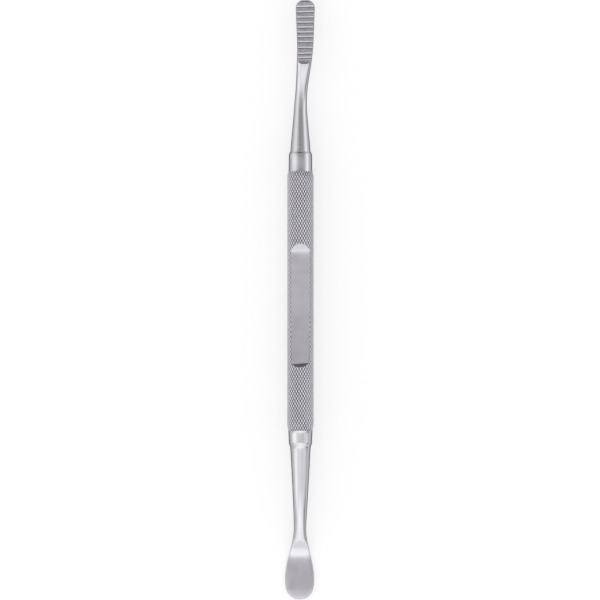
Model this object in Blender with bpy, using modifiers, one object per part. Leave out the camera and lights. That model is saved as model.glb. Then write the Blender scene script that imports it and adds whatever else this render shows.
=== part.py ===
"""Bone curette: a double-ended hand instrument made from one piece of steel.

A round grip with a diamond knurl and a milled thumb flat stands between two plain collars.
A half-round bone file tapers out of the +Y collar and a flat oval blade out of the -Y collar.
The instrument lies on z = 0 as it comes to rest: on the lowest line of its grip and on the
ground sole of its blade, with the thumb flat and the teeth of the file looking up.
"""

import math

import bmesh
import bpy
import numpy as np

# Handle: the knurled grip and the two collars
HANDLE_DIAMETER = 0.0080
GRIP_LENGTH = 0.0777
GRIP_CHAMFER_LENGTH = 0.0019
GRIP_CHAMFER_DEPTH = 0.0005
KNURL_STARTS = 22
KNURL_DEPTH = 0.0003
KNURL_HELIX_ANGLE = math.radians(30)
FILE_COLLAR_STEP = 0.0005  # from the grip's outer radius down to the collar
FILE_COLLAR_LENGTH = 0.0058
BLADE_COLLAR_STEP = 0.00043
BLADE_COLLAR_LENGTH = 0.0048
SHOULDER_LENGTH = 0.0015  # rounding at the outer end of each collar
SHOULDER_HEIGHT = 0.0004

# Thumb flat, milled into the top of the grip
THUMB_FLAT_DEPTH = 0.0014
THUMB_FLAT_LENGTH = 0.0329  # level floor between its two run-outs
THUMB_FLAT_SHIFT = -0.0023  # middle of the floor along Y, from the middle of the grip
THUMB_FLAT_RUN_OUT_RADIUS = 0.0052  # cutter radius left at the file's side
THUMB_FLAT_RAMP_ANGLE = math.radians(40)  # straight ramp at the blade's side

# File end, measured along Y from the outer end of its collar
FILE_SHANK_LENGTH = 0.02745  # up to the root of the face
FILE_SHANK_INSET = 0.0001  # step from the shoulder down to the shank's root
FILE_NECK_DISTANCE = 0.01800
FILE_NECK_DIAMETER = 0.00354
FILE_BEND_START = 0.01200
FILE_BEND_LENGTH = 0.0216
FILE_SIDE_OFFSET = 0.00145
FILE_RISE = 0.00087
FILE_ROOT_WIDTH = 0.00441
FILE_ROOT_THICKNESS = 0.0039
FILE_HEAD_WIDTH = 0.00566
FILE_HEAD_THICKNESS = 0.0035  # before its face is milled
FILE_HEAD_SQUARENESS = 4.0
FILE_ROOT_SQUARENESS = 3.0
FILE_TIP_ROUND = 0.0028
FILE_TIP_POWER = 2.4

# File face and its row of teeth
FILE_FACE_LENGTH = 0.0183
FILE_FACE_CUT = 0.00047  # milled off the top of the head
FILE_RUN_OUT_ANGLE = math.radians(28)
TOOTH_PITCH = 0.001575
FIRST_TOOTH_FROM_TIP = 0.00215
TOOTH_DEPTH = 0.00024
TOOTH_BACK_ANGLE = math.radians(26)  # long wall, on the tip's side of each groove
TOOTH_FACE_ANGLE = math.radians(45)  # steep cutting wall

# Blade end, measured along -Y from the outer end of its collar
BLADE_ROOT_FILLET = 0.00165
BLADE_SHANK_DIAMETER = 0.00592  # just past the root fillet
BLADE_WAIST_DISTANCE = 0.01485
BLADE_WAIST_DIAMETER = 0.00455
BLADE_NECK_DISTANCE = 0.02475
BLADE_NECK_WIDTH = 0.0037
BLADE_NECK_DEPTH = 0.0023  # from the axis down to the neck's lowest line, where the ramp starts
BLADE_BEND_START = 0.00855
BLADE_RAMP_START = 0.02385
BLADE_RAMP_LENGTH = 0.0105
# Slope of the upper line in degrees, first at shares of the way from the root fillet to the
# ramp and then at shares of the ramp's length, whose steepest stretch is a flat facet
BLADE_SHANK_SLOPES = ((0.0, 3.0), (0.47, 3.0), (0.69, 4.2), (0.83, 6.0))
BLADE_RAMP_SLOPES = (
    (-0.03, 10.0), (0.16, 14.0), (0.32, 18.5), (0.43, 33.0), (0.61, 35.0), (0.7, 24.0),
    (0.8, 12.0), (0.9, 4.5), (1.02, 1.2), (1.2, 0.0),
)
BLADE_FACET = (0.32, 0.49)  # shares of the ramp over which its top turns flat
BLADE_FLAT_LENGTH = 0.0116  # from the end of the ramp to the tip
BLADE_SIDE_OFFSET = -0.00025
BLADE_WIDTH = 0.00864
BLADE_THICKNESS = 0.0012
BLADE_SQUARENESS = 5.0
BLADE_TIP_ROUND = 0.0065
BLADE_TIP_POWER = 3.0
BLADE_EDGE_THICKNESS = 0.00055
BLADE_EDGE_DROP = 0.0001  # of the upper face, over the last stretch before the tip
BLADE_EDGE_TAPER = 0.003
BLADE_BEVEL_LENGTH = 0.0022  # rise of the underside at the tip
BLADE_EDGE_POWER = 12.0
SOLE_ALLOWANCE = 0.00012  # ground off the underside of the blade

# Facets
END_SIDES = 28
CORE_SIDES = 40
SHOULDER_STEPS = 5
TIP_STEPS = 9
RUN_OUT_STEPS = 5
SHARP_ANGLE = math.radians(30)

ROUND = 2.0  # squareness of a round section
MERGE_DISTANCE = 0.000001
CUTTER_REACH = 0.02  # how far a cutter stands past the steel

# Places that follow from the sizes
GRIP_RADIUS = HANDLE_DIAMETER / 2
AXIS_HEIGHT = GRIP_RADIUS
FILE_COLLAR_RADIUS = GRIP_RADIUS - FILE_COLLAR_STEP
BLADE_COLLAR_RADIUS = GRIP_RADIUS - BLADE_COLLAR_STEP
FILE_END_LENGTH = FILE_SHANK_LENGTH + FILE_FACE_LENGTH
FILE_FACE_Z = AXIS_HEIGHT + FILE_RISE + FILE_HEAD_THICKNESS / 2 - FILE_FACE_CUT
TOOTH_COUNT = 1 + int((FILE_FACE_LENGTH - FIRST_TOOTH_FROM_TIP) / TOOTH_PITCH)
BLADE_END_LENGTH = BLADE_RAMP_START + BLADE_RAMP_LENGTH + BLADE_FLAT_LENGTH
OVERALL_LENGTH = (
    BLADE_END_LENGTH + BLADE_COLLAR_LENGTH + GRIP_LENGTH + FILE_COLLAR_LENGTH + FILE_END_LENGTH
)
BLADE_FACE_Y = BLADE_END_LENGTH - OVERALL_LENGTH / 2
GRIP_START_Y = BLADE_FACE_Y + BLADE_COLLAR_LENGTH
GRIP_END_Y = GRIP_START_Y + GRIP_LENGTH
FILE_FACE_Y = GRIP_END_Y + FILE_COLLAR_LENGTH
FILE_TIP_Y = FILE_FACE_Y + FILE_END_LENGTH
BLADE_TIP_Y = BLADE_FACE_Y - BLADE_END_LENGTH

STEEL_COLOUR = (0.5, 0.49, 0.5, 1.0)
STEEL_ROUGHNESS = 0.3


def clear_scene():
    """Removes every object of the startup scene."""
    for obj in list(bpy.data.objects):
        bpy.data.objects.remove(obj, do_unlink=True)


def new_collection(name):
    """Makes a collection of that name in the scene."""
    collection = bpy.data.collections.new(name)
    bpy.context.scene.collection.children.link(collection)
    return collection


def steel_material():
    """Makes the brushed steel of the whole instrument."""
    material = bpy.data.materials.new("brushed_steel")
    material.use_nodes = True
    shader = material.node_tree.nodes["Principled BSDF"]
    shader.inputs["Base Color"].default_value = STEEL_COLOUR
    shader.inputs["Metallic"].default_value = 1.0
    shader.inputs["Roughness"].default_value = STEEL_ROUGHNESS
    return material


def object_from(shape, name, collection):
    """Turns a bmesh into a named object with its faces pointing out."""
    bmesh.ops.recalc_face_normals(shape, faces=shape.faces)
    mesh = bpy.data.meshes.new(name)
    shape.to_mesh(mesh)
    shape.free()
    obj = bpy.data.objects.new(name, mesh)
    collection.objects.link(obj)
    return obj


def as_helper(obj):
    """Keeps a cutter, or a piece that is joined to the body, out of the finished part."""
    obj.hide_render = True
    obj.display_type = "WIRE"
    return obj


def boolean(obj, other, operation):
    """Joins other to obj, or cuts it out of obj."""
    modifier = obj.modifiers.new(other.name, "BOOLEAN")
    modifier.operation = operation
    modifier.solver = "EXACT"
    modifier.object = other


def through(stations, places):
    """Smooth values through (place, value) stations, with no overshoot between them."""
    where, value = np.array(stations, float).T
    gap = np.diff(where)
    rise = np.diff(value) / gap
    slope = np.concatenate([rise[:1], np.zeros(len(rise) - 1), rise[-1:]])
    same = rise[:-1] * rise[1:] > 0
    inner = slope[1:-1]
    inner[same] = 2 * (rise[:-1] * rise[1:])[same] / (rise[:-1] + rise[1:])[same]
    part = np.clip(np.searchsorted(where, places, side="right") - 1, 0, len(gap) - 1)
    t = np.clip((places - where[part]) / gap[part], 0, 1)
    keep = (1 + 2 * t) * (1 - t) ** 2
    bend = gap[part] * t * (1 - t)
    return (
        keep * value[part]
        + (1 - keep) * value[part + 1]
        + bend * ((1 - t) * slope[part] - t * slope[part + 1])
    )


def tip_factor(places, length, round_length, power):
    """Share of the full size that is left at each place, where an end is rounded off."""
    depth = np.clip((places - (length - round_length)) / round_length, 0, 1)
    return np.sqrt(1 - depth**power)


def end_stations(marks, steps, length):
    """Distances from the collar at which an end has a section.

    Each stretch between two marks is cut into that many steps, and from the last mark to the
    tip the stations close up as the end turns round.
    """
    stretches = [
        np.linspace(start, end, count, endpoint=False)
        for start, end, count in zip(marks, marks[1:], steps)
    ]
    turn = np.linspace(0, math.pi / 2, TIP_STEPS + 1)[:-1]
    return np.concatenate([*stretches, marks[-1] + (length - marks[-1]) * np.sin(turn)])


def loft(name, collection, face_y, direction, places, section, tip):
    """Skins the sections of one end, from its cap inside the collar to its tip.

    section gives, at each place: side offset, height over the axis, width, thickness and the
    squareness above and below. A squareness of 2 is an ellipse and a higher one is boxier.
    """
    side, height, width, thickness, square_top, square_back = section
    turn = np.arange(END_SIDES) * 2 * math.pi / END_SIDES
    square = np.where(np.sin(turn)[None, :] >= 0, square_top[:, None], square_back[:, None])
    across = np.sign(np.cos(turn)) * np.abs(np.cos(turn)) ** (2 / square)
    upward = np.sign(np.sin(turn)) * np.abs(np.sin(turn)) ** (2 / square)
    x = side[:, None] + width[:, None] / 2 * across
    z = AXIS_HEIGHT + height[:, None] + thickness[:, None] / 2 * upward
    y = np.broadcast_to((face_y + direction * places)[:, None], x.shape)
    shape = bmesh.new()
    rings = [[shape.verts.new(point) for point in ring] for ring in np.stack([x, y, z], axis=2)]
    shape.faces.new(rings[0])
    for ring, following in zip(rings, rings[1:]):
        for i in range(END_SIDES):
            after = (i + 1) % END_SIDES
            shape.faces.new((ring[i], ring[after], following[after], following[i]))
    last = shape.verts.new(tip)
    for i in range(END_SIDES):
        shape.faces.new((rings[-1][i], rings[-1][(i + 1) % END_SIDES], last))
    return as_helper(object_from(shape, name, collection))


def file_end(collection):
    """Shank, neck and half-round head of the bone file, before its face is milled."""
    shank_diameter = 2 * (FILE_COLLAR_RADIUS - SHOULDER_HEIGHT - FILE_SHANK_INSET)
    root = FILE_SHANK_LENGTH
    head = FILE_END_LENGTH - FILE_TIP_ROUND
    # The first station lies inside the collar, half way along its shoulder.
    marks = [-SHOULDER_LENGTH / 2, FILE_NECK_DISTANCE, root, head]
    places = end_stations(marks, (7, 5, 5), FILE_END_LENGTH)
    bend = [(FILE_BEND_START, 0), (FILE_BEND_START + FILE_BEND_LENGTH, 1)]
    shift = through([(0, 0), *bend, (FILE_END_LENGTH, 1)], places)
    rounding = tip_factor(places, FILE_END_LENGTH, FILE_TIP_ROUND, FILE_TIP_POWER)
    shank = [(0, shank_diameter), (FILE_NECK_DISTANCE, FILE_NECK_DIAMETER)]
    width = through([*shank, (root, FILE_ROOT_WIDTH), (head, FILE_HEAD_WIDTH)], places)
    thickness = through(
        [*shank, (root, FILE_ROOT_THICKNESS), (head, FILE_HEAD_THICKNESS)], places
    )
    square = through(
        [(0, ROUND), (FILE_NECK_DISTANCE, ROUND), (root, FILE_ROOT_SQUARENESS),
         (head, FILE_HEAD_SQUARENESS)],
        places,
    )
    section = (
        FILE_SIDE_OFFSET * shift,
        FILE_RISE * shift,
        width * rounding,
        thickness * rounding,
        square,
        np.full_like(places, ROUND),
    )
    tip = (FILE_SIDE_OFFSET, FILE_TIP_Y, AXIS_HEIGHT + FILE_RISE)
    return loft("file_end", collection, FILE_FACE_Y, 1, places, section, tip)


def blade_upper_line(places, end):
    """Height of the blade end's upper line over the axis, past its root fillet.

    The line falls by the tangent of its slope, summed along the end, and the fall is scaled so
    that the line comes out at the height of the blade.
    """
    reach = BLADE_RAMP_START - BLADE_ROOT_FILLET
    slopes = [(BLADE_ROOT_FILLET + share * reach, slope) for share, slope in BLADE_SHANK_SLOPES]
    slopes += [
        (BLADE_RAMP_START + share * BLADE_RAMP_LENGTH, slope) for share, slope in BLADE_RAMP_SLOPES
    ]
    steps = np.linspace(slopes[0][0], slopes[-1][0], 1000)
    tangent = np.tan(np.radians(through(slopes, steps)))
    fall = np.concatenate([[0], np.cumsum((tangent[1:] + tangent[:-1]) / 2 * np.diff(steps))])
    start = BLADE_SHANK_DIAMETER / 2
    return np.interp(places, steps, start - fall * (start - end) / fall[-1])


def blade_end(collection):
    """Shank, bent neck and flat oval blade, before its sole is ground."""
    ramp_end = BLADE_RAMP_START + BLADE_RAMP_LENGTH
    widest = BLADE_END_LENGTH - BLADE_TIP_ROUND
    # The first station lies inside the collar, half way along its shoulder.
    marks = [-SHOULDER_LENGTH / 2, BLADE_ROOT_FILLET, BLADE_RAMP_START, ramp_end, widest]
    places = end_stations(marks, (3, 6, 14, 5), BLADE_END_LENGTH)
    sole = -GRIP_RADIUS - SOLE_ALLOWANCE
    blade_top = BLADE_THICKNESS - GRIP_RADIUS
    rim_top = blade_top - BLADE_EDGE_DROP
    root = [
        (0, 2 * (BLADE_COLLAR_RADIUS - SHOULDER_HEIGHT)),
        (BLADE_ROOT_FILLET, BLADE_SHANK_DIAMETER),
    ]
    waist = (BLADE_WAIST_DISTANCE, BLADE_WAIST_DIAMETER)
    oval = [(widest, BLADE_WIDTH), (BLADE_END_LENGTH, BLADE_WIDTH)]
    width = through([*root, waist, (BLADE_NECK_DISTANCE, BLADE_NECK_WIDTH), *oval], places)
    fillet = through(root, places) / 2
    top = np.where(places < BLADE_ROOT_FILLET, fillet, blade_upper_line(places, blade_top))
    edge = [(BLADE_END_LENGTH - BLADE_EDGE_TAPER, 0), (BLADE_END_LENGTH, BLADE_EDGE_DROP)]
    top = top - through(edge, places)
    lower = [
        (BLADE_ROOT_FILLET, -BLADE_SHANK_DIAMETER / 2),
        (BLADE_WAIST_DISTANCE, -BLADE_WAIST_DIAMETER / 2),
        (BLADE_RAMP_START, -BLADE_NECK_DEPTH),
        (ramp_end, sole),
    ]
    back = np.where(places < BLADE_ROOT_FILLET, -fillet, through(lower, places))
    bevel = [
        (BLADE_END_LENGTH - BLADE_BEVEL_LENGTH, 0),
        (BLADE_END_LENGTH, rim_top - BLADE_EDGE_THICKNESS - sole),
    ]
    back = back + through(bevel, places)
    side = through([(0, 0), (BLADE_BEND_START, 0), (ramp_end, BLADE_SIDE_OFFSET)], places)
    flat = [BLADE_RAMP_START + share * BLADE_RAMP_LENGTH for share in BLADE_FACET]
    square = through([(0, ROUND), (flat[0], ROUND), (flat[1], BLADE_SQUARENESS)], places)
    rounding = tip_factor(places, BLADE_END_LENGTH, BLADE_TIP_ROUND, BLADE_TIP_POWER)
    rim = tip_factor(places, BLADE_END_LENGTH, BLADE_TIP_ROUND, BLADE_EDGE_POWER)
    section = (side, (top + back) / 2, width * rounding, (top - back) * rim, square, square)
    tip = (BLADE_SIDE_OFFSET, BLADE_TIP_Y, AXIS_HEIGHT + rim_top - BLADE_EDGE_THICKNESS / 2)
    return loft("blade_end", collection, BLADE_FACE_Y, -1, places, section, tip)


def knurled_grip(name, collection):
    """Tube of diamond pyramids, rolled up from a grid of peaks and groove crossings.

    Peaks and crossings alternate round a ring and from ring to ring, and each cell is split
    from crossing to crossing, so its short diagonal is the bottom of a groove.
    """
    around = 2 * KNURL_STARTS
    pitch = math.pi * HANDLE_DIAMETER / KNURL_STARTS
    rows = max(4, round(2 * GRIP_LENGTH * math.tan(KNURL_HELIX_ANGLE) / pitch))
    along = np.linspace(0, GRIP_LENGTH, rows + 1)
    to_end = np.minimum(along, GRIP_LENGTH - along)
    chamfer = np.clip(1 - to_end / GRIP_CHAMFER_LENGTH, 0, 1)
    limit = GRIP_RADIUS - GRIP_CHAMFER_DEPTH * chamfer
    turn = np.arange(around) * 2 * math.pi / around
    crossing = (np.arange(rows + 1)[:, None] + np.arange(around)[None, :]) % 2
    radius = np.minimum(limit[:, None], GRIP_RADIUS - KNURL_DEPTH * crossing)
    shape = bmesh.new()
    rings = []
    for row in range(rows + 1):
        x = radius[row] * np.sin(turn)
        z = AXIS_HEIGHT + radius[row] * np.cos(turn)
        y = GRIP_START_Y + along[row]
        rings.append([shape.verts.new((x[i], y, z[i])) for i in range(around)])
    for row in range(rows):
        for i in range(around):
            here, after = rings[row][i], rings[row][(i + 1) % around]
            above, corner = rings[row + 1][i], rings[row + 1][(i + 1) % around]
            if crossing[row, i]:
                shape.faces.new((here, after, corner))
                shape.faces.new((here, corner, above))
            else:
                shape.faces.new((here, after, above))
                shape.faces.new((after, corner, above))
    shape.faces.new(rings[0])
    shape.faces.new(rings[-1])
    return object_from(shape, name, collection)


def shoulder(radius, face_y, direction):
    """Points of a collar's rounded outer end, from its full radius to its end face."""
    turn = np.linspace(0, math.pi / 2, SHOULDER_STEPS + 1)
    fall = SHOULDER_HEIGHT * (1 - np.cos(turn))
    back = SHOULDER_LENGTH * (1 - np.sin(turn))
    return list(zip(radius - fall, face_y - direction * back))


def collar_core(collection):
    """Turned core of the handle: both collars with their rounded shoulders."""
    upper = shoulder(FILE_COLLAR_RADIUS, FILE_FACE_Y, 1)
    lower = shoulder(BLADE_COLLAR_RADIUS, BLADE_FACE_Y, -1)
    # The core changes from one collar's radius to the other's inside the grip.
    outline = [(0, FILE_FACE_Y), *upper[::-1], *lower, (0, BLADE_FACE_Y)]
    shape = bmesh.new()
    points = [shape.verts.new((radius, y, 0)) for radius, y in outline]
    for one, other in zip(points, points[1:]):
        shape.edges.new((one, other))
    core = as_helper(object_from(shape, "collar_core", collection))
    core.location.z = AXIS_HEIGHT
    screw = core.modifiers.new("turn", "SCREW")
    screw.axis = "Y"
    screw.steps = screw.render_steps = CORE_SIDES
    screw.use_merge_vertices = True
    screw.merge_threshold = MERGE_DISTANCE
    screw.use_normal_calculate = True
    return core


def prism(name, collection, outline, half_width):
    """Cutter with the given outline of (y, z) points, drawn out to both sides of x = 0."""
    shape = bmesh.new()
    base = shape.faces.new([shape.verts.new((-half_width, y, z)) for y, z in outline])
    grown = bmesh.ops.extrude_face_region(shape, geom=[base])["geom"]
    moved = [item for item in grown if isinstance(item, bmesh.types.BMVert)]
    bmesh.ops.translate(shape, vec=(2 * half_width, 0, 0), verts=moved)
    return as_helper(object_from(shape, name, collection))


def thumb_flat_cutter(collection):
    """Milling cut of the thumb flat: an arc up to the knurl at one end, a ramp at the other."""
    floor = AXIS_HEIGHT + GRIP_RADIUS - THUMB_FLAT_DEPTH
    middle = (GRIP_START_Y + GRIP_END_Y) / 2 + THUMB_FLAT_SHIFT
    low_end = middle - THUMB_FLAT_LENGTH / 2
    high_end = middle + THUMB_FLAT_LENGTH / 2
    top = AXIS_HEIGHT + GRIP_RADIUS + THUMB_FLAT_DEPTH
    reach = min(1.0, (top - floor) / THUMB_FLAT_RUN_OUT_RADIUS)
    turn = np.linspace(0, math.acos(1 - reach), RUN_OUT_STEPS + 1)
    arc = [
        (
            high_end + THUMB_FLAT_RUN_OUT_RADIUS * math.sin(angle),
            floor + THUMB_FLAT_RUN_OUT_RADIUS * (1 - math.cos(angle)),
        )
        for angle in turn
    ]
    ramp_top = low_end - (arc[-1][1] - floor) / math.tan(THUMB_FLAT_RAMP_ANGLE)
    outline = [(ramp_top, arc[-1][1]), (low_end, floor), *arc]
    return prism("thumb_flat", collection, outline, GRIP_RADIUS + CUTTER_REACH)


def file_face_cutter(collection):
    """Milling cut that leaves the flat face of the file, with its run-out at the neck."""
    floor = FILE_FACE_Z
    top = floor + FILE_HEAD_THICKNESS
    start = FILE_TIP_Y - FILE_FACE_LENGTH
    run = (top - floor) / math.tan(FILE_RUN_OUT_ANGLE)
    far = FILE_TIP_Y + CUTTER_REACH
    outline = [(start, floor), (far, floor), (far, top), (start - run, top)]
    return prism("file_face", collection, outline, FILE_HEAD_WIDTH + CUTTER_REACH)


def tooth_cutter(index, collection):
    """V groove of one tooth: a long wall towards the tip and a steep wall towards the neck."""
    floor = FILE_FACE_Z
    bottom = FILE_TIP_Y - FIRST_TOOTH_FROM_TIP - index * TOOTH_PITCH
    # The V runs on above the face, as far as it is deep.
    height = 2 * TOOTH_DEPTH
    outline = [
        (bottom, floor - TOOTH_DEPTH),
        (bottom + height / math.tan(TOOTH_BACK_ANGLE), floor - TOOTH_DEPTH + height),
        (bottom - height / math.tan(TOOTH_FACE_ANGLE), floor - TOOTH_DEPTH + height),
    ]
    return prism(f"tooth_{index + 1}", collection, outline, FILE_HEAD_WIDTH + CUTTER_REACH)


def sole_cutter(collection):
    """Grinding cut that levels the underside of the blade with the lowest line of the grip."""
    start = BLADE_FACE_Y - BLADE_BEND_START
    far = BLADE_TIP_Y - CUTTER_REACH
    outline = [(start, 0), (far, 0), (far, -CUTTER_REACH), (start, -CUTTER_REACH)]
    return prism("sole", collection, outline, BLADE_WIDTH + CUTTER_REACH)


def build():
    """Builds the instrument as one solid, with its helpers in a collection of their own."""
    clear_scene()
    parts = new_collection("bone_curette")
    cutters = new_collection("cutters")

    file_piece = file_end(cutters)
    boolean(file_piece, file_face_cutter(cutters), "DIFFERENCE")
    for index in range(TOOTH_COUNT):
        boolean(file_piece, tooth_cutter(index, cutters), "DIFFERENCE")
    blade_piece = blade_end(cutters)
    boolean(blade_piece, sole_cutter(cutters), "DIFFERENCE")

    body = knurled_grip("bone_curette_body", parts)
    boolean(body, collar_core(cutters), "UNION")
    boolean(body, thumb_flat_cutter(cutters), "DIFFERENCE")
    boolean(body, file_piece, "UNION")
    boolean(body, blade_piece, "UNION")
    body.data.materials.append(steel_material())
    body.data.shade_smooth()
    body.data.set_sharp_from_angle(angle=SHARP_ANGLE)
    return body


build()
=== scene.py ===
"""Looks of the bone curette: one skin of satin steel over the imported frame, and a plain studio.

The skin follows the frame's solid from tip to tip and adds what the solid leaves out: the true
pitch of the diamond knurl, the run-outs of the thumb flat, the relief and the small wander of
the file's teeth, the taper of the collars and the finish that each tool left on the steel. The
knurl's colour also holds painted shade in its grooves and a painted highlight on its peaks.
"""

import logging
import math
from dataclasses import dataclass, field
from enum import Enum

import bmesh
import bpy
import numpy as np
from bpy.types import Material, Mesh, Node, NodeSocket, NodeTree, Object
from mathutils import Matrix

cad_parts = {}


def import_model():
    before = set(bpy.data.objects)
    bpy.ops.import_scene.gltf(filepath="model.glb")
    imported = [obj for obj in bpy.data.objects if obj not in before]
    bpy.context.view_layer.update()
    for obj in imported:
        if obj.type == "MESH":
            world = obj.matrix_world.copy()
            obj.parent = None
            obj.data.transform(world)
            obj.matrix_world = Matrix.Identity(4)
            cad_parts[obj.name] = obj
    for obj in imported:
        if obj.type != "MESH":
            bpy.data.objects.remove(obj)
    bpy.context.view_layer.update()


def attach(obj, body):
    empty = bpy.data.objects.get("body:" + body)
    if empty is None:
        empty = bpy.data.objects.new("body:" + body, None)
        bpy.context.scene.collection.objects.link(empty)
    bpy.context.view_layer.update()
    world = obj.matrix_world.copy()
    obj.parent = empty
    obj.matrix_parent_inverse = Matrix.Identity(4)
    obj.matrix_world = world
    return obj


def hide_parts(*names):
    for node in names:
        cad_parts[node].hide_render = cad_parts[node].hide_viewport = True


MM = 0.001
AXIS_HEIGHT = 4.0 * MM  # the handle's axis over the table
NODE = "bone_curette_body"
BODY = "root"
TURNED_COLOUR = (0.505, 0.5, 0.51)
TURNED_ROUGHNESS = 0.17
ELLIPSE = 2.0  # squareness of a section that is a plain ellipse
NOISE_RANGE = (0.3, 0.7)  # in which the values of a noise texture mostly lie

Stations = tuple[tuple[float, float], ...]  # places, each with the value there
Inputs = dict[str | int, NodeSocket | float | tuple[float, ...]]  # of a node, by name or number

log = logging.getLogger("bone_curette")


class Grain(Enum):
    """Way in which the fine scratches of a finish run."""

    ROUND = (1.0, 22.0, 1.0)  # rings round the instrument's axis
    LENGTHWISE = (22.0, 1.0, 22.0)
    CROSSWISE = (1.5, 22.0, 1.5)


class Cut(Enum):
    """Solid operation of one closed skin on another."""

    JOIN = "UNION"
    AWAY = "DIFFERENCE"


def through(stations: list[tuple[float, float]], places: np.ndarray) -> np.ndarray:
    """Smooth values through (place, value) stations, with no overshoot between them.

    Each stretch is a cubic whose slope at a station is the harmonic mean of the two straight
    slopes beside it, or level where they differ in sign.

    Args:
        stations: Places and values that the curve meets, in rising order of place.
        places: Places at which the curve is wanted. Beyond the ends it keeps the end value.

    Returns:
        The value at each place.
    """
    where, value = np.array(stations, float).T
    gap = np.diff(where)
    rise = np.diff(value) / gap
    slope = np.concatenate([rise[:1], np.zeros(len(rise) - 1), rise[-1:]])
    same = rise[:-1] * rise[1:] > 0
    inner = slope[1:-1]
    inner[same] = 2 * (rise[:-1] * rise[1:])[same] / (rise[:-1] + rise[1:])[same]
    part = np.clip(np.searchsorted(where, places, side="right") - 1, 0, len(gap) - 1)
    t = np.clip((places - where[part]) / gap[part], 0, 1)
    keep = (1 + 2 * t) * (1 - t) ** 2
    bend = gap[part] * t * (1 - t)
    return (
        keep * value[part]
        + (1 - keep) * value[part + 1]
        + bend * ((1 - t) * slope[part] - t * slope[part + 1])
    )


def eased(stations: list[tuple[float, float]], places: np.ndarray, spread: float) -> np.ndarray:
    """The curve of `through`, averaged over a short stretch so that its bends run in softly.

    Args:
        stations: Places and values that the curve meets.
        places: Places at which the curve is wanted.
        spread: Half length of the stretch, in metres.

    Returns:
        The mean of the curve over nine points round each place, with the nearer ones weighing more.
    """
    offsets = np.linspace(-1, 1, 9)
    weights = np.cos(offsets * math.pi / 2) ** 2
    values = through(stations, (places[:, None] + spread * offsets[None, :]).ravel())
    return values.reshape(len(places), -1) @ weights / weights.sum()


def climbed(slopes: list[tuple[float, float]], places: np.ndarray, spread: float) -> np.ndarray:
    """Height of a line that climbs by the tangent of its slope, summed in short steps.

    Args:
        slopes: Places, in metres, and the slope of the line there, in degrees.
        places: Places at which the height is wanted.
        spread: Half length of the stretch over which the slope is eased, in metres.

    Returns:
        The height over the first place of the slopes.
    """
    steps = np.linspace(slopes[0][0], slopes[-1][0], 2000)
    tangent = np.tan(np.radians(eased(slopes, steps, spread)))
    height = np.concatenate([[0], np.cumsum((tangent[1:] + tangent[:-1]) / 2 * np.diff(steps))])
    return np.interp(places, steps, height)


def in_metres(stations: Stations) -> list[tuple[float, float]]:
    """Stations with their places turned from millimetres into metres."""
    return [(place * MM, value) for place, value in stations]


def rounding(places: np.ndarray, end: float, length: float, power: float) -> np.ndarray:
    """Share of the full size that is left where an end is rounded off over a length."""
    depth = np.clip((places - (end - length)) / length, 0, 1)
    return np.sqrt(1 - depth**power)


@dataclass(frozen=True)
class Wander:
    """Unevenness of handwork, as a sum of sine waves with seeded random phases."""

    seed: int
    count: int  # number of waves, from one length to `count` times shorter
    length: float  # of the longest wave
    size: float  # of the wander to both sides

    def at(self, places: np.ndarray) -> np.ndarray:
        """The wander at some places.

        Args:
            places: Places along the wander.

        Returns:
            Values between about -size and size.
        """
        rng = np.random.default_rng(self.seed)
        phase = rng.uniform(0, 2 * math.pi, self.count)
        speed = 2 * math.pi / self.length * np.linspace(1, self.count, self.count)
        total = np.sin(places[..., None] * speed + phase).sum(axis=-1)
        # The sum rarely passes 1.5 times the square root of the number of waves.
        return self.size * (total / math.sqrt(self.count) / 1.5)


def skin_from(name: str, points: np.ndarray, triangles: np.ndarray, finish: Material) -> Object:
    """Makes a mesh object of points and triangles with its faces pointing outwards.

    Args:
        name: Name of the object.
        points: Array of (x, y, z) rows, in metres.
        triangles: Array of three point numbers a row.
        finish: Material of all its faces.

    Returns:
        The object, linked to the scene.
    """
    a, b, c = (points[triangles[:, i]] for i in range(3))
    if np.einsum("ij,ij->i", a, np.cross(b, c)).sum() < 0:
        triangles = triangles[:, ::-1]
    mesh = bpy.data.meshes.new(name)
    mesh.vertices.add(len(points))
    mesh.vertices.foreach_set("co", points.astype(np.float32).ravel())
    mesh.loops.add(triangles.size)
    mesh.loops.foreach_set("vertex_index", triangles.astype(np.int32).ravel())
    mesh.polygons.add(len(triangles))
    mesh.polygons.foreach_set("loop_start", np.arange(0, triangles.size, 3, dtype=np.int32))
    mesh.update(calc_edges=True)
    mesh.materials.append(finish)
    obj = bpy.data.objects.new(name, mesh)
    bpy.context.scene.collection.objects.link(obj)
    return obj


def cells(rows: int, around: int) -> tuple[np.ndarray, ...]:
    """Point numbers at the corners of each cell between closed rings.

    Args:
        rows: Number of rings.
        around: Number of points in a ring.

    Returns:
        For each cell its first point, the next one round the ring, and the same two on the
        next ring.
    """
    number = np.arange(rows * around).reshape(rows, around)
    after = np.roll(number, -1, axis=1)
    return number[:-1], after[:-1], number[1:], after[1:]


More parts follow.
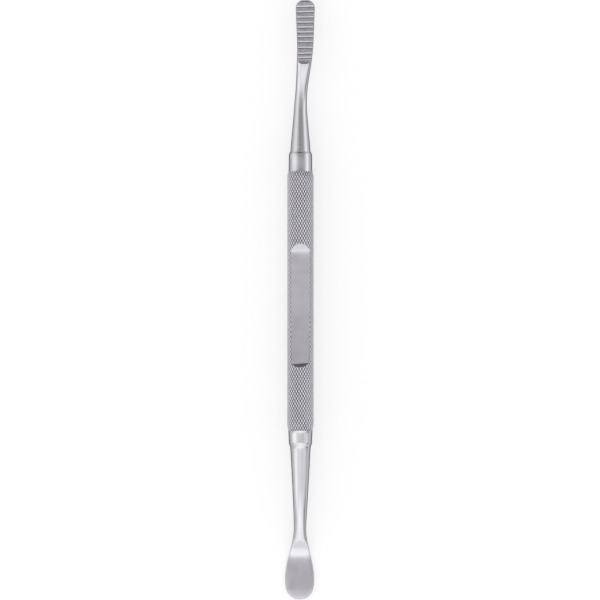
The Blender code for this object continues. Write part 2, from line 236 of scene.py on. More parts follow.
def tube(name: str, rings: np.ndarray, finish: Material) -> Object:
    """Closed skin over a grid of rings, with a pole in the middle of each end ring.

    Each cell of the grid is split along the diagonal whose two corners are nearer to each
    other in their distance from the handle's axis, so that creases run along cell edges.

    Args:
        name: Name of the object.
        rings: Grid of points with the shape (rings, points a ring, 3).
        finish: Material of the skin.

    Returns:
        The object.
    """
    rows, around = rings.shape[:2]
    here, after, above, corner = cells(rows, around)
    reach = np.hypot(rings[..., 0], rings[..., 2] - AXIS_HEIGHT).ravel()
    # The last term settles ties between two diagonals that are equally good.
    rising = np.abs(reach[here] - reach[corner]) <= np.abs(reach[after] - reach[above]) + 1e-9
    first = np.where(rising[..., None], np.stack([here, after, corner], -1),
                     np.stack([here, after, above], -1))
    second = np.where(rising[..., None], np.stack([here, corner, above], -1),
                      np.stack([after, corner, above], -1))
    low = np.stack([after[0], here[0], np.full(around, rows * around)], -1)
    high = np.stack([above[-1], corner[-1], np.full(around, rows * around + 1)], -1)
    triangles = np.concatenate([first.reshape(-1, 3), second.reshape(-1, 3), low, high])
    poles = np.stack([rings[0].mean(axis=0), rings[-1].mean(axis=0)])
    return skin_from(name, np.concatenate([rings.reshape(-1, 3), poles]), triangles, finish)


def drawn_across(
    name: str,
    outline: np.ndarray,
    across: np.ndarray,
    finish: Material,
    other: Material | None = None,
    where: np.ndarray | None = None,
) -> Object:
    """Closed skin of a side outline that is drawn out over several places across the instrument.

    Args:
        name: Name of the object.
        outline: Grid of (y, z) points with the shape (places across, points of the outline, 2).
        across: The x of each place.
        finish: Material of the skin.
        other: Second material, if some stretches of the outline have one of their own.
        where: True for each stretch of the outline that has the second material.

    Returns:
        The object.
    """
    x = np.broadcast_to(across[:, None, None], (*outline.shape[:2], 1))
    rings = np.concatenate([x, outline], axis=2)
    here, after, above, corner = cells(*rings.shape[:2])
    sides = np.concatenate([
        np.stack([here, after, corner], -1).reshape(-1, 3),
        np.stack([here, corner, above], -1).reshape(-1, 3),
    ])
    obj = skin_from(name, rings.reshape(-1, 3), sides, finish)
    if other is not None:
        obj.data.materials.append(other)
        index = np.tile(where.astype(np.int32), 2 * len(here))
        obj.data.polygons.foreach_set("material_index", index)
    # The two ends are plane faces with as many corners as the outline.
    shape = bmesh.new()
    shape.from_mesh(obj.data)
    shape.verts.ensure_lookup_table()
    for ring in (here[0], above[-1]):
        shape.faces.new([shape.verts[i] for i in ring])
    bmesh.ops.recalc_face_normals(shape, faces=shape.faces)
    bmesh.ops.triangulate(shape, faces=shape.faces, ngon_method="EAR_CLIP")
    shape.to_mesh(obj.data)
    shape.free()
    return obj


def carve(obj: Object, other: Object, cut: Cut) -> None:
    """Joins another skin to this one, or cuts with it, and removes the other.

    Args:
        obj: The skin that stays.
        other: The skin that is used up.
        cut: What is done.
    """
    modifier = obj.modifiers.new(other.name, "BOOLEAN")
    modifier.operation = cut.value
    modifier.solver = "MANIFOLD"
    modifier.material_mode = "TRANSFER"
    modifier.object = other
    depsgraph = bpy.context.evaluated_depsgraph_get()
    result = bpy.data.meshes.new_from_object(obj.evaluated_get(depsgraph))
    obj.modifiers.clear()
    old = obj.data
    obj.data = result
    result.name = obj.name
    bpy.data.meshes.remove(old)
    bpy.data.objects.remove(other, do_unlink=True)
    log.info("%s: %d faces after %s", obj.name, len(result.polygons), cut.name.lower())


def read_all(
    items: bpy.types.bpy_prop_collection, name: str, kind: type = np.int32, width: int = 1
) -> np.ndarray:
    """Reads one property of all faces, corners or edges of a mesh.

    Args:
        items: The faces, corners or edges, or the values of an attribute.
        name: Name of the property.
        kind: Type of its numbers.
        width: Count of numbers that it has for each item.

    Returns:
        The numbers in one row.
    """
    values = np.empty(width * len(items), dtype=kind)
    items.foreach_get(name, values)
    return values


def fill(node: Node, inputs: Inputs) -> Node:
    """Sets inputs of a node, or links them to sockets.

    Args:
        node: The node.
        inputs: What goes into each of the inputs.

    Returns:
        The node.
    """
    for name, value in inputs.items():
        if isinstance(value, NodeSocket):
            node.id_data.links.new(value, node.inputs[name])
        else:
            node.inputs[name].default_value = value
    return node


def math_node(tree: NodeTree, operation: str, *values: NodeSocket | float) -> NodeSocket:
    """Adds a math node.

    Args:
        tree: The node tree that it goes into.
        operation: Name of the operation.
        values: What goes into its inputs, in their order.

    Returns:
        The socket with the result.
    """
    node = tree.nodes.new("ShaderNodeMath")
    node.operation = operation
    return fill(node, dict(enumerate(values))).outputs["Value"]


def range_node(
    tree: NodeTree, value: NodeSocket, *limits: float, smooth: bool = False
) -> NodeSocket:
    """Adds a node that maps one range to another and stays within it.

    Args:
        tree: The node tree that it goes into.
        value: The value that is mapped.
        limits: Both ends of its range, and both ends of the new one if that isn't 0 to 1.
        smooth: True for a smooth step in place of a straight one.

    Returns:
        The socket with the result.
    """
    node = tree.nodes.new("ShaderNodeMapRange")
    node.interpolation_type = "SMOOTHSTEP" if smooth else "LINEAR"
    ends = dict(zip(("From Min", "From Max", "To Min", "To Max"), limits))
    return fill(node, {"Value": value, **ends}).outputs["Result"]


def mix_node(
    tree: NodeTree, share: NodeSocket, first: NodeSocket, second: NodeSocket | tuple[float, ...]
) -> NodeSocket:
    """Adds a node that blends two colours.

    Args:
        tree: The node tree that it goes into.
        share: Share of the second colour.
        first: The colour at a share of 0.
        second: The colour at a share of 1.

    Returns:
        The socket with the colour.
    """
    node = tree.nodes.new("ShaderNodeMix")
    node.data_type = "RGBA"
    # The colour sockets come after those for numbers and vectors.
    return fill(node, {"Factor": share, 6: first, 7: second}).outputs[2]


@dataclass(frozen=True)
class Pattern:
    """Node tree of a finish, and the sockets that its colour and roughness start from."""

    tree: NodeTree
    place: NodeSocket  # on the instrument, in metres
    cloud: NodeSocket
    scratch: NodeSocket

    def parts(self) -> list[NodeSocket]:
        """The x, y and z of the place."""
        node = self.tree.nodes.new("ShaderNodeSeparateXYZ")
        return list(fill(node, {"Vector": self.place}).outputs)

    def scaled(self, colour: NodeSocket | tuple[float, ...], factor: NodeSocket) -> NodeSocket:
        """Adds a node that lightens or darkens a colour.

        Args:
            colour: The colour.
            factor: What it is multiplied by.

        Returns:
            The socket with the colour.
        """
        node = self.tree.nodes.new("ShaderNodeVectorMath")
        node.operation = "SCALE"
        return fill(node, {0: colour, "Scale": factor}).outputs["Vector"]


@dataclass(frozen=True)
class SteelFinish:
    """Stainless steel as one tool left it."""

    name: str
    colour: tuple[float, float, float]
    roughness: float
    grain: Grain
    grain_size: float  # spacing of the scratches
    grain_depth: float
    patch_size: float = 3.0 * MM  # of the soft clouds in tone and gloss
    tone_spread: float = 0.05
    gloss_spread: float = 0.05
    edge_tint: float = 0.0  # what is left of the reflection at a grazing look

    def material(self) -> Material:
        """Makes the material: clouds of tone and gloss, and scratches that also stand in relief.

        Returns:
            The material.
        """
        material = bpy.data.materials.new(self.name)
        material.use_nodes = True
        tree = material.node_tree
        place = tree.nodes.new("ShaderNodeTexCoord").outputs["Object"]
        cloud = fill(tree.nodes.new("ShaderNodeTexNoise"), {
            "Vector": place, "Scale": 1 / self.patch_size, "Detail": 4.0,
        })
        stretch = fill(tree.nodes.new("ShaderNodeMapping"), {
            "Vector": place, "Scale": self.grain.value,
        })
        scratch = fill(tree.nodes.new("ShaderNodeTexNoise"), {
            "Vector": stretch.outputs["Vector"],
            "Scale": 1 / (self.grain_size * max(self.grain.value)),
            "Detail": 6.0,
            "Roughness": 0.65,
        })
        pattern = Pattern(tree, place, cloud.outputs["Fac"], scratch.outputs["Fac"])
        relief = fill(tree.nodes.new("ShaderNodeBump"), {
            "Strength": 1.0, "Distance": self.grain_depth, "Height": pattern.scratch,
        })
        shader = tree.nodes["Principled BSDF"]
        # This one leaves out the light that bounces twice, so rough steel darkens to its rims.
        shader.distribution = "GGX"
        tint = self.edge_tint
        colour, roughness = self.shading(pattern)
        fill(shader, {
            "Base Color": colour,
            "Metallic": 1.0,
            "Roughness": roughness,
            "Specular Tint": (tint, tint, tint, 1.0),
            "Normal": relief.outputs["Normal"],
        })
        return material

    def shading(self, pattern: Pattern) -> tuple[NodeSocket, NodeSocket]:
        """Colour, which clouds vary a little, and roughness, which scratches vary too.

        Args:
            pattern: What both start from.

        Returns:
            The sockets with the colour and with the roughness.
        """
        tree, tone, gloss = pattern.tree, self.tone_spread, self.gloss_spread
        low, high = NOISE_RANGE
        factor = range_node(tree, pattern.cloud, low, high, 1 - tone, 1 + tone)
        both = math_node(tree, "ADD", pattern.cloud, pattern.scratch)
        roughness = range_node(tree, both, 2 * low, 2 * high,
                               self.roughness - gloss, self.roughness + gloss)
        return pattern.scaled(self.colour, factor), roughness


@dataclass(frozen=True)
class BladeFinish(SteelFinish):
    """Ground blade, which runs over into the brighter turned steel of its neck."""

    neck_colour: tuple[float, float, float] = TURNED_COLOUR
    neck_roughness: float = TURNED_ROUGHNESS
    change: tuple[float, float] = (-78.6 * MM, -76.0 * MM)  # y of the blade's and the neck's end

    def shading(self, pattern: Pattern) -> tuple[NodeSocket, NodeSocket]:
        """Colour and roughness of the blade, blended into the neck's.

        Args:
            pattern: What both start from.

        Returns:
            The sockets with the colour and with the roughness.
        """
        colour, roughness = super().shading(pattern)
        # Share of the neck's finish, by the y: 0 on the blade and 1 on the neck
        share = range_node(pattern.tree, pattern.parts()[1], *self.change, smooth=True)
        both = fill(pattern.tree.nodes.new("ShaderNodeMix"), {
            "Factor": share, "A": roughness, "B": self.neck_roughness,
        })
        colour = mix_node(pattern.tree, share, colour, (*self.neck_colour, 1.0))
        return colour, both.outputs["Result"]


@dataclass(frozen=True)
class Knurl:
    """Measures of the rolled diamond knurl, which its form and its finish share."""

    radius: float = 4.0 * MM  # of its crests
    depth: float = 0.2 * MM
    starts: int = 29  # grooves of each hand round the grip
    rows: int = 105  # half diamonds along the grip
    start: float = -39.25 * MM
    end: float = 38.45 * MM

    @property
    def row_length(self) -> float:
        """Length of half a diamond."""
        return (self.end - self.start) / self.rows


@dataclass(frozen=True)
class KnurlFinishAndPaintedShade(SteelFinish):
    """Rolled knurl, with painted shade in its grooves, darkest where they cross, and a painted
    highlight on its peaks.
    """

    knurl: Knurl = Knurl()
    groove_painted_shade: float = 0.9  # painted shade: brightness left at the bottom of a groove
    pit_painted_shade: float = 0.05  # painted shade: brightness left where two grooves cross
    peak_painted_highlight: float = 1.65  # painted highlight: brightness of a peak

    def shading(self, pattern: Pattern) -> tuple[NodeSocket, NodeSocket]:
        """Colour, with painted shade in the grooves, darkest at their crossings, and a painted
        highlight on the peaks; and roughness.

        The depth of a groove is the crest's radius less the distance from the handle's axis.
        The cosine of the turn round the axis times the starts, multiplied by the cosine of half
        a turn for each row along it, is 1 at each crossing and -1 on each peak.

        Args:
            pattern: What both start from.

        Returns:
            The sockets with the colour and with the roughness.
        """
        colour, roughness = super().shading(pattern)
        tree, knurl = pattern.tree, self.knurl
        x, y, height = pattern.parts()
        z = math_node(tree, "SUBTRACT", height, AXIS_HEIGHT)
        square = math_node(tree, "MULTIPLY_ADD", x, x, math_node(tree, "MULTIPLY", z, z))
        # Painted shade that deepens towards the bottom of each groove
        depth = range_node(tree, math_node(tree, "SQRT", square), knurl.radius - knurl.depth,
                           knurl.radius, self.groove_painted_shade, 1.0)
        turn = math_node(tree, "MULTIPLY", math_node(tree, "ARCTAN2", x, z), float(knurl.starts))
        rows = math_node(tree, "MULTIPLY", math_node(tree, "SUBTRACT", y, knurl.start),
                         math.pi / knurl.row_length)
        crossing = math_node(tree, "MULTIPLY", math_node(tree, "COSINE", turn),
                             math_node(tree, "COSINE", rows))
        # Painted highlight on the peaks and painted shade where the grooves cross
        painted_highlight_and_shade = range_node(tree, crossing, -1.0, 1.0, self.peak_painted_highlight, self.pit_painted_shade)
        return pattern.scaled(colour, math_node(tree, "MULTIPLY", depth, painted_highlight_and_shade)), roughness


@dataclass(frozen=True)
class Finishes:
    """The finishes of the instrument, one for each tool that shaped it."""

    turned: SteelFinish = SteelFinish(
        "turned_steel", TURNED_COLOUR, TURNED_ROUGHNESS, Grain.ROUND, 0.05 * MM, 0.004 * MM,
        tone_spread=0.02, gloss_spread=0.03,
    )
    knurled: SteelFinish = KnurlFinishAndPaintedShade(
        "knurled_steel", (0.65, 0.637, 0.667), 0.64, Grain.ROUND, 0.1 * MM, 0.004 * MM,
    )
    milled: SteelFinish = SteelFinish(
        "milled_steel", (0.465, 0.454, 0.475), 0.34, Grain.CROSSWISE, 0.06 * MM, 0.006 * MM,
    )
    ground: SteelFinish = BladeFinish(
        "ground_steel", (0.43, 0.416, 0.434), 0.34, Grain.LENGTHWISE, 0.06 * MM, 0.006 * MM,
        patch_size=2.0 * MM,
    )
    filed: SteelFinish = SteelFinish(
        "filed_steel", (0.43, 0.42, 0.435), 0.33, Grain.CROSSWISE, 0.1 * MM, 0.012 * MM,
        patch_size=0.8 * MM, tone_spread=0.1,
    )
    toothed: SteelFinish = SteelFinish(
        "toothed_steel", (0.42, 0.41, 0.425), 0.33, Grain.CROSSWISE, 0.1 * MM, 0.008 * MM,
        patch_size=0.8 * MM, tone_spread=0.1,
    )


@dataclass
class Grip:
    """Round grip with a rolled diamond knurl, a chamfer at each end and a milled thumb flat."""

    knurl: Knurl = Knurl()
    crest: float = 0.75  # share of the way from groove to peak at which the crest is cut level
    uneven: Wander = Wander(seed=3, count=5, length=31.0, size=0.06)  # of the depth, over the rows
    twist: float = 7.0  # rows by which the unevenness moves along as it goes round the grip
    # Fall of the rounded chamfer at distances from each end of the grip, in millimetres
    chamfer: Stations = ((0.0, 0.36), (0.3, 0.3), (0.9, 0.13), (1.4, 0.04), (1.9, 0.0))
    flat_depth: float = 1.4 * MM
    flat_length: float = 32.9 * MM
    flat_middle: float = -2.7 * MM
    # Slope of the run-out at the file's side, at places in millimetres and in degrees
    run_out: Stations = (
        (-0.75, 0.0), (-0.15, 1.5), (0.25, 3.5), (0.55, 6.0), (0.85, 10.0), (1.1, 17.0),
        (1.4, 26.0), (2.2, 31.0), (3.0, 34.0), (3.6, 36.0), (4.4, 38.0),
    )
    run_out_ease: float = 0.3 * MM  # half the stretch over which its bends run in
    run_out_steps: int = 33
    ramp_angle: float = math.radians(41)
    ramp_slant: float = 0.07  # how far the ramp moves along the grip with the x
    slant_fade: float = 3.0 * MM  # stretch of the floor that moves along with it
    lift_length: float = 16.0 * MM  # stretch before the ramp over which the floor lifts a little
    lift: float = 0.32 * MM
    lift_power: float = 1.4
    lift_steps: int = 9
    cutter_reach: float = 8.0 * MM  # to both sides, and past the run-out
    cutter_rise: float = 3.0 * MM  # over its slopes

    def rolled(self, finish: Material) -> Object:
        """Skin of the knurled blank, whose ends are broken before the knurl is rolled.

        Round the grip and along it the grid counts half diamonds, a and b. One hand's grooves
        lie where a - b is even and the other's where a + b is even. The height at a point is the
        smaller distance to the two, cut level at the crest.

        Args:
            finish: Material of the skin.

        Returns:
            The object.
        """
        knurl = self.knurl
        parts = np.array([0.0, 1 - self.crest, self.crest])
        a = (np.arange(2 * knurl.starts)[:, None] + parts).ravel()
        b = np.append((np.arange(knurl.rows)[:, None] + parts).ravel(), knurl.rows)
        one = np.abs((a[None, :] - b[:, None] + 1) % 2 - 1)
        other = np.abs((a[None, :] + b[:, None] + 1) % 2 - 1)
        height = np.minimum(np.minimum(one, other) / self.crest, 1.0)
        turn = a * math.pi / knurl.starts
        depth = knurl.depth * (1 + self.uneven.at(b[:, None] + self.twist * np.sin(turn)[None, :]))
        along = knurl.start + b * knurl.row_length
        to_end = np.minimum(along - knurl.start, knurl.end - along)
        blank = knurl.radius - MM * through(in_metres(self.chamfer), to_end)
        radius = blank[:, None] - depth * (1 - height)
        rings = np.stack([
            radius * np.sin(turn)[None, :],
            np.broadcast_to(along[:, None], radius.shape),
            AXIS_HEIGHT + radius * np.cos(turn)[None, :],
        ], axis=2)
        return tube("knurled_grip", rings, finish)

    def thumb_flat(self, finish: Material) -> Object:
        """Cutter of the thumb flat: a hollow run-out at the file's side, and a lift and a ramp.

        Args:
            finish: Material of the milled surface.

        Returns:
            The object.
        """
        floor = AXIS_HEIGHT + self.knurl.radius - self.flat_depth
        top = AXIS_HEIGHT + self.knurl.radius + self.flat_depth
        low = self.flat_middle - self.flat_length / 2
        high = self.flat_middle + self.flat_length / 2
        slopes = in_metres(self.run_out)
        out = np.linspace(slopes[0][0], slopes[-1][0], self.run_out_steps)
        hollow = np.stack([high + out, floor + climbed(slopes, out, self.run_out_ease)], axis=1)
        share = np.linspace(1, 0, self.lift_steps)
        lifted = np.stack([
            low + self.lift_length * (1 - share), floor + self.lift * share**self.lift_power
        ], axis=1)
        start = low - (top - floor - self.lift) / math.tan(self.ramp_angle)
        above = top + self.cutter_rise
        outline = np.concatenate([
            [[start, top]], lifted, hollow, [[high + self.cutter_reach, above], [start, above]],
        ])
        # The ramp and the floor just before it move along with the x, the rest stays.
        moved = np.clip((low + self.slant_fade - outline[:, 0]) / self.slant_fade, 0, 1)
        across = np.array([-self.cutter_reach, self.cutter_reach])
        shift = across[:, None] * self.ramp_slant * moved
        outlines = outline[None] + np.stack([shift, np.zeros_like(shift)], axis=2)
        return drawn_across("thumb_flat", outlines, across, finish)

    def build(self, finishes: dict[str, Material]) -> Object:
        """Knurls the blank and mills the thumb flat.

        Args:
            finishes: Materials by the name of the finish.

        Returns:
            The finished skin of the grip.
        """
        grip = self.rolled(finishes["knurled"])
        carve(grip, self.thumb_flat(finishes["milled"]), Cut.AWAY)
        return grip


@dataclass
class End:
    """What both ends share: a turned profile, and sections that change along the end.

    A place is a distance from the outer end of the collar, and negative inside it.
    """

    face: float  # y of the collar's outer end
    length: float
    collar_length: float
    profile: Stations  # radius of the collar, its shoulder and its fillet, all in millimetres
    tip_round: float  # length over which the tip is rounded off
    tip_power: float
    sides: int = 72
    root_depth: float = 3.0 * MM  # how far the collar's skin runs on inside the grip

    @property
    def fillet(self) -> float:
        """Place at which the turned profile ends, past the shoulder's fillet."""
        return self.profile[-1][0] * MM

    def turned(self, places: np.ndarray) -> np.ndarray:
        """Diameter of the turned profile at each place."""
        return 2 * MM * through(in_metres(self.profile), places)

    def stations(self, marks: list[tuple[float, int]]) -> np.ndarray:
        """Places of the sections, in even steps from mark to mark and closer towards the tip.

        Args:
            marks: Places past the collar's inner end, in rising order, each with the number of
                steps that lead up to it.

        Returns:
            The places, which stop just short of the tip.
        """
        grip = -self.collar_length
        start = grip - self.root_depth
        places = []
        # The second stretch leads over the edge at the collar's inner end in close steps.
        for mark, steps in [(grip - 0.1 * MM, 3), (grip + MM, 16), *marks]:
            places.append(np.linspace(start, mark, steps, endpoint=False))
            start = mark
        turn = np.linspace(0, math.pi / 2, 40)[:-1]
        return np.concatenate([*places, start + (self.length - start) * np.sin(turn)])

    def sections(
        self,
        along: np.ndarray,
        middle: tuple[np.ndarray, np.ndarray],
        size: tuple[np.ndarray, np.ndarray],
        square: tuple[np.ndarray, np.ndarray],
    ) -> np.ndarray:
        """Grid of rings, one at each place along.

        Each ring is a superellipse: half the width times the cosine, and half the thickness
        times the sine, each to the power of two over the squareness.

        Args:
            along: The y of each ring.
            middle: The x of each ring's middle, and its height over the handle's axis.
            size: Width and thickness of each ring.
            square: Squareness of each ring's upper and lower half.

        Returns:
            The grid with the shape (rings, sides, 3).
        """
        turn = np.arange(self.sides) * 2 * math.pi / self.sides
        power = 2 / np.where(np.sin(turn)[None, :] >= 0, square[0][:, None], square[1][:, None])
        across = np.sign(np.cos(turn)) * np.abs(np.cos(turn)) ** power
        upward = np.sign(np.sin(turn)) * np.abs(np.sin(turn)) ** power
        x = middle[0][:, None] + size[0][:, None] / 2 * across
        z = AXIS_HEIGHT + middle[1][:, None] + size[1][:, None] / 2 * upward
        return np.stack([x, np.broadcast_to(along[:, None], x.shape), z], axis=2)


@dataclass
class FileEnd(End):
    """Collar, tapered shank, neck bent to one side and half-round head of the bone file."""

    face: float = 44.25 * MM
    length: float = 45.75 * MM
    collar_length: float = 5.8 * MM
    profile: Stations = (
        (-6.2, 3.2), (-5.85, 3.25), (-5.8, 3.62), (-5.55, 3.56), (-5.2, 3.52), (-4.6, 3.5),
        (-3.6, 3.49), (-1.8, 3.485), (-1.1, 3.465), (-0.6, 3.42), (-0.3, 3.33),
        (0.0, 3.09), (0.2, 3.01), (0.7, 2.95), (1.5, 2.89),
    )
    shank_diameter: float = 6.0 * MM  # where its taper would meet the collar's end
    neck_distance: float = 18.0 * MM
    neck_diameter: float = 3.54 * MM
    bend: tuple[float, float] = (12.0 * MM, 33.6 * MM)
    side_offset: float = 1.45 * MM
    rise: float = 0.87 * MM
    root_distance: float = 27.45 * MM
    root_width: float = 4.41 * MM
    root_thickness: float = 3.9 * MM
    head_width: float = 5.66 * MM
    head_thickness: float = 3.5 * MM
    root_squareness: float = 3.0
    head_squareness: float = 4.0
    tip_round: float = 2.8 * MM
    tip_power: float = 2.4
    face_height: float = 2.15 * MM  # of the milled face over the handle's axis
    run_out_radius: float = 1.9 * MM  # of the face, where it ends at the neck
    run_out_start: float = 27.65 * MM
    tooth_depth: float = 0.2 * MM
    tooth_back: float = math.radians(24)  # long wall, on the tip's side
    tooth_front: float = math.radians(50)  # steep cutting wall
    relief: float = math.radians(3.0)  # lands rise a little towards the handle
    skew: tuple[float, float] = (0.0, 0.035)  # slope of a groove across the file
    # Bottom of each groove, from the tip, in millimetres: pitched by hand and not quite even
    grooves: tuple[float, ...] = (
        2.26, 3.86, 5.46, 7.02, 8.49, 9.96, 11.32, 12.86, 14.6, 16.34, 17.6
    )
    skew_seed: int = 5
    wander: Wander = Wander(seed=11, count=4, length=9 * MM, size=0.05 * MM)  # across the file
    size_ease: float = 1.0 * MM  # half the stretch over which the head's sizes run in
    bend_ease: float = 1.5 * MM
    changeover: float = 2.5 * MM  # length from the turned profile to the shank's own taper
    front_allowance: float = 0.03 * MM  # added to the depth, which lengthens the steep wall
    run_out_turn: float = math.radians(60)
    cutter_sides: tuple[float, float] = (-3.0 * MM, 6.0 * MM)  # x of the cutter's two ends
    cutter_rise: float = 3.5 * MM  # over the face
    cutter_reach: float = 5.0 * MM  # past the tip
    cutter_steps: int = 19  # across, and round the run-out

    def head(self, finish: Material) -> Object:
        """Skin of the collar, shank, neck and uncut head.

        Args:
            finish: Material of the skin.

        Returns:
            The object.
        """
        head = self.length - self.tip_round
        places = self.stations([
            (-1.2 * MM, 5), (-0.5 * MM, 7), (0.3 * MM, 16), (self.fillet, 6),
            (self.root_distance, 84), (head, 40),
        ])
        low, high = self.bend
        shift = eased([(0, 0), (low, 0), (high, 1), (self.length, 1)], places, self.bend_ease)
        shift = np.where(places < low / 2, 0.0, shift)
        shank, neck = self.shank_diameter, self.neck_diameter
        marks = (0, self.neck_distance, self.root_distance, head)
        width, thickness, square = (
            eased(list(zip(marks, values)), places, self.size_ease)
            for values in (
                (shank, neck, self.root_width, self.head_width),
                (shank, neck, self.root_thickness, self.head_thickness),
                (ELLIPSE, ELLIPSE, self.root_squareness, self.head_squareness),
            )
        )
        profile = self.turned(places)
        inside = places < self.fillet
        # From the fillet on, the shank changes over from the turned profile to its own taper.
        near = np.clip((places - self.fillet) / self.changeover, 0, 1)
        start = (self.fillet, profile[inside][-1])
        taper = through([start, (self.neck_distance, neck), (self.length, neck)], places)
        width = np.where(inside, profile, near * width + (1 - near) * taper)
        thickness = np.where(inside, profile, near * thickness + (1 - near) * taper)
        end = rounding(places, self.length, self.tip_round, self.tip_power)
        rings = self.sections(
            self.face + places, (self.side_offset * shift, self.rise * shift),
            (width * end, thickness * end), (square, np.full_like(places, ELLIPSE)),
        )
        return tube("file_end", rings, finish)

    def outline(self, wander: np.ndarray) -> np.ndarray:
        """Outline of the cutter for the face and its teeth, from the run-out to past the tip.

        Between two grooves the face rises towards the handle by its relief. Each groove is
        a V with a long wall on the tip's side and a steep one on the handle's side.

        Args:
            wander: Shift of each groove along the file at this place across it.

        Returns:
            Array of (y, z) rows.
        """
        tip = self.face + self.length
        face = AXIS_HEIGHT + self.face_height
        bottoms = tip - np.array(self.grooves) * MM + wander
        front = (self.tooth_depth + self.front_allowance) / math.tan(self.tooth_front)
        back = self.tooth_depth / math.tan(self.tooth_back)
        # From the tip towards the handle: end of a land, bottom, start of the next land
        y = np.stack([bottoms + back, bottoms, bottoms - front], axis=1)
        rise = (y[:-1, 2] - y[1:, 0]) * math.tan(self.relief)
        z = np.stack([
            np.append(face, face + rise),
            np.full_like(bottoms, face - self.tooth_depth),
            np.full_like(bottoms, face),
        ], axis=1)
        turn = np.linspace(0, self.run_out_turn, self.cutter_steps)
        arc = np.stack([
            self.face + self.run_out_start - self.run_out_radius * np.sin(turn),
            face + self.run_out_radius * (1 - np.cos(turn)),
        ], axis=1)
        top = face + self.cutter_rise
        far = tip + self.cutter_reach
        # From the first groove to the tip, and on past it, the face falls by a hair.
        return np.concatenate([
            [[far, top], [far, face - 0.05 * MM], [tip, face - 0.02 * MM]],
            np.stack([y.ravel(), z.ravel()], axis=1),
            arc,
            [[arc[-1, 0], top]],
        ])

    def build(self, finishes: dict[str, Material]) -> Object:
        """Turns and bends the end, then mills its face and teeth.

        Args:
            finishes: Materials by the name of the finish.

        Returns:
            The finished skin.
        """
        piece = self.head(finishes["turned"])
        across = np.linspace(*self.cutter_sides, self.cutter_steps)
        # The grooves were pitched by hand: each is a little skewed, and all wander alike.
        skew = np.random.default_rng(self.skew_seed).uniform(*self.skew, len(self.grooves))
        shift = (across[:, None] - self.side_offset) * skew[None, :]
        shift = shift + self.wander.at(across)[:, None]
        outline = np.stack([self.outline(row) for row in shift])
        # After three points past the tip come three for each tooth: the long wall starts at the
        # first of them and the steep wall ends at the third.
        stretch = np.arange(outline.shape[1]) - 3
        walls = (stretch >= 0) & (stretch < 3 * len(self.grooves)) & (stretch % 3 != 2)
        teeth = drawn_across(
            "teeth", outline, across, finishes["filed"], finishes["toothed"], walls
        )
        carve(piece, teeth, Cut.AWAY)
        return piece


